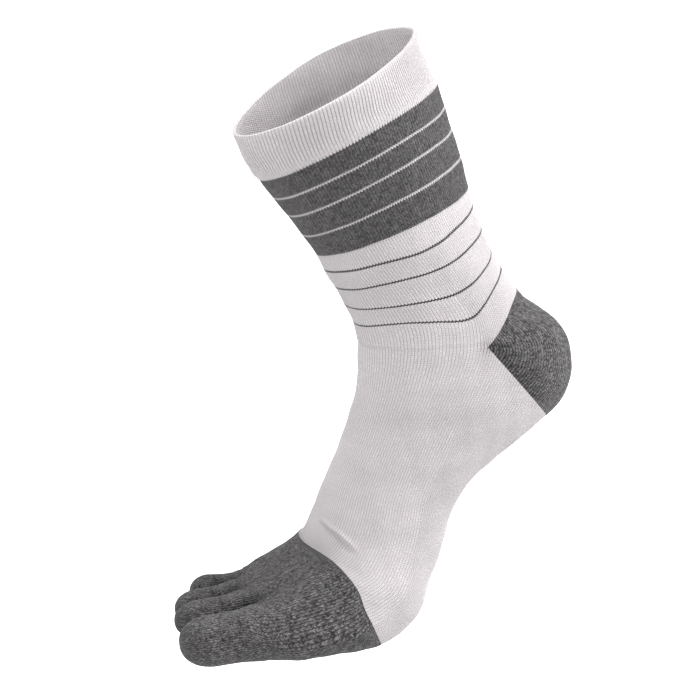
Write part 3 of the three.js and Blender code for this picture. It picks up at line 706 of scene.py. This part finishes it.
def edge_points(number, back, fine=FINE):
    """Points down one edge of the toes, from the top to the sole. back moves them towards the rim."""
    edge = PARTING_EDGES[number]
    down = np.linspace(0, 1, edge_wales(number) * fine + 1)
    bulge = edge["bulge"] * 4 * down * (1 - down) * math.copysign(1, edge["side"])
    return at_parting(edge["ahead"] * BALL_DEPTH - back + 0 * down, (edge["side"] + bulge) * BALL_WIDTH,
                      mix(edge["top"], edge["bottom"], down) * BALL_DEPTH)


def arc_points(number, height, ends, inset):
    """Points over a toe's top or under its sole at the parting line, from its inner to its outer edge."""
    angle = np.linspace(-TOE_CORNER, TOE_CORNER, TOE_WALES[number] * FINE + 1)
    across = (np.sin(angle) / math.sin(TOE_CORNER) + 1) / 2
    arch = (np.cos(angle) - math.cos(TOE_CORNER)) / (1 - math.cos(TOE_CORNER))
    points = mix(ends[0], ends[1], across[:, None])
    up = (points - PARTING) @ TOE_UP
    rise = height * BALL_DEPTH - math.copysign(inset, height) - up
    return points + (rise * arch)[:, None] * TOE_UP


def root_loop(number, inset, spread, back):
    """A loop of points round a toe's root: over the top, down the outer edge, under the sole, up the inner
    edge. inset moves its free sides into the toe, and spread the sides that face other toes."""
    toe = TOES[number]
    inner, outer = edge_points(number, back), edge_points(number + 1, back)

    def narrowed(points, edge, other):
        distance = inset if edge in (0, len(TOES)) else spread
        ends = np.linspace(other[0], other[-1], len(points))
        return mix(points, ends, (distance / np.abs(ends - points)[:, 1])[:, None])

    inner, outer = narrowed(inner, number, outer), narrowed(outer, number + 1, inner)
    top = arc_points(number, toe["crest"], (inner[0], outer[0]), inset)
    sole = arc_points(number, toe["sole"], (inner[-1], outer[-1]), inset)
    return [top[:-1], outer[:-1], sole[::-1][:-1], inner[::-1][:-1]]


def joined_loops(loops):
    """The toes' loops joined to one ring: over the tops, down the outer side, under the soles, up the inner
    side."""
    tops = [loop[0] for loop in loops]
    soles = [loop[2] for loop in loops[::-1]]
    return np.concatenate([*tops, loops[-1][1], *soles, loops[0][3]])


def matched_turns(full, joined):
    """The turns of a plain course at which its points stand across from those of the joined loops."""
    first, last = PARTING_EDGES[0]["side"], PARTING_EDGES[-1]["side"]

    def angle(side):
        share = TOPS_REACH * (2 * side - first - last) / (last - first)
        return np.arcsin(np.clip(power(share, full / 2), -1, 1))

    top = sum(TOE_WALES) * FINE
    edge = EDGE_WALES * FINE
    side = joined[:, 1] / BALL_WIDTH
    down = np.arange(edge) / edge
    return np.concatenate([
        -angle(side[:top]), mix(-angle(last), angle(last) - math.pi, down),
        -math.pi + angle(side[top + edge:2 * top + edge]),
        mix(-math.pi + angle(first), -2 * math.pi - angle(first), down)])


def forefoot_rings(inset, back, count):
    """Rings of the forefoot from the toes to the white foot. The first is the joined loops."""
    loops = [root_loop(i, inset, 0, back) for i in range(len(TOES))]
    plain = joined_loops([root_loop(i, 0, 0, 0) for i in range(len(TOES))])
    share = np.linspace(0, 1, count + 1)[:, None]
    wales = joined_wales()
    slide = FOOT_SLIDE_ROWS[-1][1] * share
    even = (even_turns(lambda turn: front_points(turn, 1, 1 - share), count + 1, wales % WALES, slide)
            + 2 * math.pi * np.floor(wales / WALES))
    full = foot_courses(mix(forefoot_from(math.pi / 2), 1, 1 - share[:, 0]))["full"]
    matched = np.array([matched_turns(ring_full, plain) for ring_full in full])
    ring = front_points(mix(even, matched, ease(1 - share)), 1, 1 - share, inset)
    form = (ease(1 - share) * (1 - share))[..., None]
    return mix(ring, joined_loops(loops), form), loops


def joined_wales():
    """The wale at each point of the joined loops. They go round the other way from the wales' own numbers."""
    return WALES / 4 - EDGE_WALES / 2 - wale_places()


def forefoot_piece(*words):
    """The grey part that ends in five openings, with the web of fabric between them."""
    count = rings_for(FOREFOOT_LENGTH)
    wales = joined_wales()
    outer, loops = forefoot_rings(0, 0, count)
    inner, inner_loops = forefoot_rings(KNIT_WALL, KNIT_WALL, count)
    outward = -normals_of(outer, True)
    outward[0] = 0
    height = WALE_RELIEF * wale_ridge(wales) + FOREFOOT_SOFTNESS * unevenness(outer)
    outer = outer + outward * height[..., None]
    courses = np.linspace(-FOOT_COURSES, FOREFOOT_TOP_COURSE, count + 1)
    knit = Knit()
    outside = knit.surface(outer[::-1], wales, courses[::-1, None], -WALES, web_painted_shade(outer[::-1]))
    inside = knit.surface(inner[::LINING_EVERY], wales, courses[::LINING_EVERY, None], -WALES)
    knit.join(ends_of(inside, -1), ends_of(outside, 0), -WALES)
    for i, loop in enumerate(loops):
        middle = root_loop(i, KNIT_WALL, KNIT_WALL + TOE_GAP / 2, 0)
        lip = np.array([np.concatenate(part) for part in (loop, middle, inner_loops[i])])
        lip_courses = -FOOT_COURSES + np.arange(len(lip))[:, None] * EDGE_COURSES
        knit.surface(lip, loop_wales(i), lip_courses, toe_round(i))
    return knit.piece(*words)


def web_painted_shade(points):
    """How much painted shade falls in the creases near the webs between the toes."""
    nearest = np.full(points.shape[:-1], np.inf)
    for number in range(1, len(TOES)):
        for place in edge_points(number, 0, 1):
            away = points - place
            ahead = away @ TOE_AXIS
            shorter = away - (ahead * (1 - np.where(ahead > 0, WEB_STRETCH, 1)))[..., None] * TOE_AXIS
            nearest = np.minimum(nearest, np.linalg.norm(shorter, axis=-1))
    return ease(1 - nearest / WEB_REACH)


def toe_round(number):
    """The number of wales round one toe."""
    return 2 * TOE_WALES[number] + edge_wales(number) + edge_wales(number + 1)


def loop_wales(number):
    """The wales at the points of one toe's loop."""
    return np.arange(toe_round(number) * FINE) / FINE


def free_ring(number, ahead, half, high, middle):
    """A ring across a toe that stands free of its neighbours, with its wales evenly spaced."""
    toe = TOES[number]
    inner, outer = PARTING_EDGES[number], PARTING_EDGES[number + 1]
    side = (inner["side"] + outer["side"]) / 2 * BALL_WIDTH + math.tan(math.radians(toe["lean"])) * ahead
    start = (inner["ahead"] + outer["ahead"]) / 2 * BALL_DEPTH
    dense = np.linspace(-math.pi, math.pi, 241)
    outline = np.stack([part(dense) for part in (np.sin, np.cos)], axis=-1)
    outline = power(outline, 2 / TOE_FULL) * [half, high]
    run = lengths_along(outline)
    place = ((loop_wales(number) - TOE_WALES[number] / 2) / toe_round(number) + 0.5) % 1
    across = np.interp(place, run, outline[:, 0])
    up = np.interp(place, run, outline[:, 1])
    return at_parting(start + ahead + 0 * across, side + across, middle + up)


def toe_rings(number, inset):
    """Rings of a toe pocket from its root to its tip, and how far ahead each is."""
    toe = TOES[number]
    length = toe["length"] * BIG_TOE_LENGTH - inset
    inner, outer = PARTING_EDGES[number], PARTING_EDGES[number + 1]
    half = (outer["side"] - inner["side"]) / 2 * BALL_WIDTH - TOE_GAP / 2
    root_high = (toe["crest"] - toe["sole"]) / 2 * BALL_DEPTH
    root_middle = (toe["crest"] + toe["sole"]) / 2 * BALL_DEPTH
    cap_from = TOE_OUTLINE[-1][0]
    root = np.concatenate(root_loop(number, inset, inset + TOE_GAP / 2, 0))

    def free(at, wide, high):
        settle = min(at / cap_from, 1)
        half_high = mix(root_high, toe["high"] * BALL_DEPTH, settle) * high
        middle = mix(root_middle, toe["middle"] * BALL_DEPTH, settle)
        sizes = [max(size - inset, 1e-6) for size in (half * wide, half_high)]
        return free_ring(number, at * length, *sizes, middle)

    rings, at_shares = [root], [0.0]
    straight = max(6, round(cap_from * length / RING_STEP))
    for i in range(1, straight + 1):
        at = cap_from * i / straight
        row = smooth(OUTLINE_COLUMNS, TOE_OUTLINE, np.array([at]))
        ring = free(at, row["wide"][0], row["high"][0])
        freed = ease(i / straight / TOE_FREE_AT)
        rings.append(mix(root + TOE_AXIS * at * length, ring, freed))
        at_shares.append(at)
    wide, high = TOE_OUTLINE[-1][1:]
    for angle in np.linspace(0, math.pi / 2, CAP_RINGS + 1)[1:]:
        shrink = max(math.cos(angle), 0) ** CAP_POWER
        at = mix(cap_from, 1, math.sin(angle))
        rings.append(free(at, wide * shrink, high * shrink))
        at_shares.append(at)
    return np.array(rings), np.array(at_shares) * length


def toe_piece(number, *words):
    """A pocket for one toe."""
    wales = loop_wales(number)
    around = toe_round(number)
    outer, ahead = toe_rings(number, 0)
    root_fade, tip_fade = TOE_FADE_RINGS
    relief = WALE_RELIEF * between(np.arange(len(outer)), 0, root_fade, len(outer) - 1, tip_fade)
    outer = outer + normals_of(outer, True) * relief[:, None, None] * wale_ridge(wales)[None, :, None]
    courses = -FOOT_COURSES - ahead[:, None] / COURSE_PITCH
    inner, inner_ahead = toe_rings(number, KNIT_WALL)
    inner_courses = -FOOT_COURSES - inner_ahead[:, None] / COURSE_PITCH
    knit = Knit()
    outside = knit.surface(outer, wales, courses, around, web_painted_shade(outer))
    inside = knit.surface(inner[::-1], wales, inner_courses[::-1], around)
    knit.join(ends_of(inside, -1), ends_of(outside, 0), around)
    return knit.piece(*words)


class Field:
    """An output of one of a material's nodes. Arithmetic on it adds Math nodes."""

    def __init__(self, finish, socket):
        self.finish, self.socket = finish, socket

    def math(self, operation, *values):
        return self.finish.node("ShaderNodeMath", {"operation": operation}, dict(enumerate(values)))

    def __add__(self, other):
        return self.math("ADD", self, other)

    def __radd__(self, other):
        return self.math("ADD", other, self)

    def __sub__(self, other):
        return self.math("SUBTRACT", self, other)

    def __rsub__(self, other):
        return self.math("SUBTRACT", other, self)

    def __mul__(self, other):
        return self.math("MULTIPLY", self, other)

    def __rmul__(self, other):
        return self.math("MULTIPLY", other, self)

    def __pow__(self, other):
        return self.math("POWER", self, other)

    def __lt__(self, other):
        return self.math("LESS_THAN", self, other)

    def __abs__(self):
        return self.math("ABSOLUTE", self)

    def floor(self):
        return self.math("FLOOR", self)

    def fract(self):
        return self.math("FRACT", self)

    def sine(self):
        return self.math("SINE", self)

    def within(self, low, high):
        """How far the value is from low to high, kept between 0 and 1."""
        return self.finish.node("ShaderNodeMapRange", {"clamp": True},
                                {"Value": self, "From Min": low, "From Max": high})

    def spread(self):
        """A noise's usual values spread from 0 to 1."""
        return self.within(0.3, 0.7)

    def equals(self, number):
        return self.math("COMPARE", self, number, 0.5)


class Finish:
    """A procedural material."""

    def __init__(self, name):
        self.material = bpy.data.materials.new(name)
        self.material.use_nodes = True
        self.tree = self.material.node_tree
        self.tree.nodes.clear()

    def node(self, kind, settings=None, sockets=None, output=0):
        """A new node: its settings are set first, then the values or links of its sockets."""
        made = self.tree.nodes.new(kind)
        for name, value in (settings or {}).items():
            setattr(made, name, value)
        for name, value in (sockets or {}).items():
            if isinstance(value, Field):
                self.tree.links.new(value.socket, made.inputs[name])
            else:
                made.inputs[name].default_value = value
        return Field(self, made.outputs[output]) if made.outputs else None

    def blend(self, share, low, high, way="MIX"):
        """A colour mixed from two colours, or one darkened by the other."""
        return self.node("ShaderNodeMix", {"data_type": "RGBA", "blend_type": way, "clamp_factor": True},
                         {0: share, 6: low, 7: high}, 2)

    def vector(self, x, y, z):
        return self.node("ShaderNodeCombineXYZ", None, {0: x, 1: y, 2: z})

    def noise(self, place, scale, detail):
        return self.node("ShaderNodeTexNoise", {"noise_dimensions": "3D"},
                         {"Vector": place, "Scale": scale, "Detail": detail})

    def speck(self, place):
        """A random number for each whole place."""
        return self.node("ShaderNodeTexWhiteNoise", {"noise_dimensions": "3D"}, {"Vector": place})


def knit_finish(kind, grey_at, groove_at=None):
    """Knitted yarn of a kind of KNITS. grey_at gives 1 where it is grey and 0 where it is white, from the
    number of the course, the exact course and the distance across the wale. groove_at gives how dark the
    painted shade in the grooves is, at a course."""
    knit = next(row for row in KNITS if row["kind"] == kind)
    seed = KNITS.index(knit) + 1.0
    finish = Finish(kind)
    place = finish.node("ShaderNodeUVMap", {"uv_map": "knit"})
    flat_wale = finish.node("ShaderNodeSeparateXYZ", None, {0: place}, "X")
    course = finish.node("ShaderNodeSeparateXYZ", None, {0: place}, "Y")
    # A mask of painted shade in the creases round the heel's corners and at the toes' webs, and of a darker
    # strip along the heel's lower edge
    gather = finish.node("ShaderNodeAttribute", {"attribute_name": "gather"}, None, "Fac")
    body = finish.node("ShaderNodeTexCoord", None, None, "Object")

    # The stitches: each is a V whose legs slant from the middle of the wale
    drift = finish.noise(finish.vector(flat_wale * WOBBLE_WALES, course * WOBBLE_COURSES, seed), 1.0, 1.0)
    wale = flat_wale + (drift - 0.5) * WOBBLE
    across = abs(wale.fract() - 0.5) * 2
    risen = course - across * STITCH_SLANT
    loop = (risen.fract() * math.pi).sine()
    leg = (across * math.pi).sine()
    strand = loop ** STRAND_POWER * (STRAND_EDGE + (1 - STRAND_EDGE) * leg)

    # The yarn's unevenness: long fibres, single flecks and whole stitches, and wide blotches
    fibre = finish.noise(finish.vector(wale, risen * FIBRE_COURSES, seed), FIBRE_SCALE, 3.0)
    fleck = finish.speck(finish.vector((wale * FLECKS).floor(), (risen * FLECKS).floor(), seed))
    stitch = finish.vector(wale * STREAK_WALES, risen.floor() * STREAK_COURSES, seed + 0.5)
    streak = finish.noise(stitch, 1.0, 2.0)
    blotch = finish.noise(body, BLOTCH_SCALE, 2.0)

    heather = streak.spread() * HEATHER_STREAK + fleck * HEATHER_FLECK + fibre.spread() * HEATHER_FIBRE
    grey = finish.blend(heather ** knit["contrast"] * knit["light"], GREY_DARK, GREY_LIGHT)
    white = finish.blend(fibre.spread() * WHITE_FIBRE + fleck * WHITE_FLECK, WHITE_DARK, WHITE_LIGHT)
    is_grey = grey_at((course - across * STRIPE_SLANT).floor(), course, across)
    yarn = finish.blend(is_grey, white, grey) if isinstance(is_grey, Field) else grey if is_grey else white
    groove = across ** 3 * (knit["steady"] + (1 - knit["steady"]) * fleck)
    if groove_at:
        groove = groove * groove_at(course)
    # Painted shade where the shade mask is set, deepest in the grooves between wales
    painted_shade_amount = gather * (MASK_SHADE + across ** 2 * MASK_GROOVE_SHADE)
    # Painted shade: the gaps between stitches, the grooves between wales and the places the shade mask marks are
    # darkened towards SHADE
    pits = (1 - strand) * knit["pits"] + groove * knit["grooves"] + painted_shade_amount
    yarn = finish.blend(pits, yarn, SHADE, "MULTIPLY")
    yarn = finish.blend(blotch.spread() * BLOTCH_SHARE, yarn, BLOTCH, "MULTIPLY")

    height = strand + (fibre + fleck) * ROUGH_RELIEF
    bump = finish.node("ShaderNodeBump", None, {"Strength": 1.0, "Distance": STITCH_RELIEF, "Height": height})
    surface = finish.node("ShaderNodeBsdfPrincipled", None, {"Base Color": yarn, "Normal": bump, **YARN_GLOSS})
    finish.node("ShaderNodeOutputMaterial", None, {"Surface": surface})
    return finish.material


def any_of(number, courses):
    """1 where a course's number is one of some numbers."""
    return sum(number.equals(course) for course in courses)


def seam_ticks(number, course, across):
    """Grey at the foot of the cuff, in a small tick between every two wales."""
    return course < BAND_TOP_COURSE + BORDER_LIFT + across ** 3 * BORDER_TICK


def seam_grooves(course):
    """Faint painted shade in the grooves at the foot of the cuff, and full painted shade above."""
    rising = course.within(BAND_TOP_COURSE + RIBS_FROM, BAND_TOP_COURSE + RIBS_FULL)
    return SEAM_GROOVES + (1 - SEAM_GROOVES) * rising


def pale_stripes(number, course, across):
    """Grey but for its stripes, down to the band's last course."""
    return 1 - any_of(number, PALE_STRIPES) * PALE_SHARE - (number < BAND_BOTTOM_COURSE + 0.5)


def dark_stripes(number, course, across):
    """White but for its stripes."""
    return any_of(number, DARK_STRIPES)


white_rib = knit_finish("white_rib", seam_ticks, seam_grooves)
grey_striped_knit = knit_finish("grey_striped_knit", pale_stripes)
white_striped_knit = knit_finish("white_striped_knit", dark_stripes)
white_knit = knit_finish("white_knit", lambda number, course, across: 0)
grey_knit = knit_finish("grey_knit", lambda number, course, across: 1)

cuff_piece("ribbed_cuff", white_rib, "white_rib", "cuff")
leg_piece(BAND_FROM, CUFF_FROM, "striped_band_knit", grey_striped_knit, "grey_striped_knit", "striped_band")
leg_piece(0, BAND_FROM, "ankle_knit", white_striped_knit, "white_striped_knit", "ankle")
heel_piece("heel_pocket", grey_knit, "grey_knit", "heel")
foot_piece("foot_knit", white_knit, "white_knit", "foot")
ball_piece("ball_knit", white_knit, "white_knit", "ball")
forefoot_piece("forefoot_knit", grey_knit, "grey_knit", "forefoot")
for number, toe in enumerate(TOES):
    toe_piece(number, toe["name"] + "_pocket", grey_knit, "grey_knit", toe["name"])


def photo_directions():
    """Right, up and towards the camera, as the photograph shows the object."""
    right = Vector((math.cos(CAMERA_TURN), -math.sin(CAMERA_TURN), 0))
    level = math.cos(CAMERA_RISE)
    back = Vector((-math.sin(CAMERA_TURN) * level, -math.cos(CAMERA_TURN) * level, math.sin(CAMERA_RISE)))
    return right, back.cross(right), back


def add_camera():
    """The camera at the photograph's angle."""
    right, up, back = photo_directions()
    lens = bpy.data.cameras.new("photograph")
    lens.sensor_width = SENSOR
    lens.lens = SENSOR * CAMERA_DISTANCE / VIEW_WIDTH
    camera = bpy.data.objects.new("photograph", lens)
    camera.location = right * VIEW_MIDDLE[0] + up * VIEW_MIDDLE[1] + back * CAMERA_DISTANCE
    camera.rotation_euler = (math.pi / 2 - CAMERA_RISE, 0, -CAMERA_TURN)
    bpy.context.scene.collection.objects.link(camera)
    bpy.context.scene.camera = camera


def add_lamp(name, towards, rise, distance, size, watts):
    """A soft square light that shines at the middle of the scene."""
    light = bpy.data.lights.new(name, "AREA")
    light.size = size
    light.energy = watts
    lamp = bpy.data.objects.new(name, light)
    lamp.visible_camera = False
    turn, lift = math.radians(towards), math.radians(rise)
    out = Vector((math.cos(turn) * math.cos(lift), math.sin(turn) * math.cos(lift), math.sin(lift)))
    lamp.location = out * distance
    lamp.rotation_euler = out.to_track_quat("Z", "Y").to_euler()
    bpy.context.scene.collection.objects.link(lamp)


def add_world():
    """Even white light from all round."""
    world = bpy.data.worlds.new("studio")
    world.use_nodes = True
    background = world.node_tree.nodes["Background"]
    background.inputs["Color"].default_value = PLAIN_WHITE
    background.inputs["Strength"].default_value = WORLD_STRENGTH
    bpy.context.scene.world = world
    bpy.context.scene.view_settings.view_transform = "Standard"


def add_floor():
    """A pale floor well below the sock, which hangs free, lit so evenly that it shows no shadow."""
    finish = Finish("pale_floor")
    surface = finish.node("ShaderNodeBsdfPrincipled", None, {
        "Base Color": PALE_FLOOR, "Roughness": 0.9, "Emission Color": PLAIN_WHITE, "Emission Strength": 1.0})
    finish.node("ShaderNodeOutputMaterial", None, {"Surface": surface})
    mesh = bpy.data.meshes.new("floor")
    corners = [(x * FLOOR_REACH, y * FLOOR_REACH, -FLOOR_DROP) for x, y in ((-1, -1), (1, -1), (1, 1), (-1, 1))]
    mesh.from_pydata(corners, [], [(0, 1, 2, 3)])
    mesh.materials.append(finish.material)
    floor = bpy.data.objects.new("floor", mesh)
    floor.visible_diffuse = False
    bpy.context.scene.collection.objects.link(floor)


add_camera()
add_floor()
for lamp in LAMPS:
    add_lamp(*lamp)
add_world()
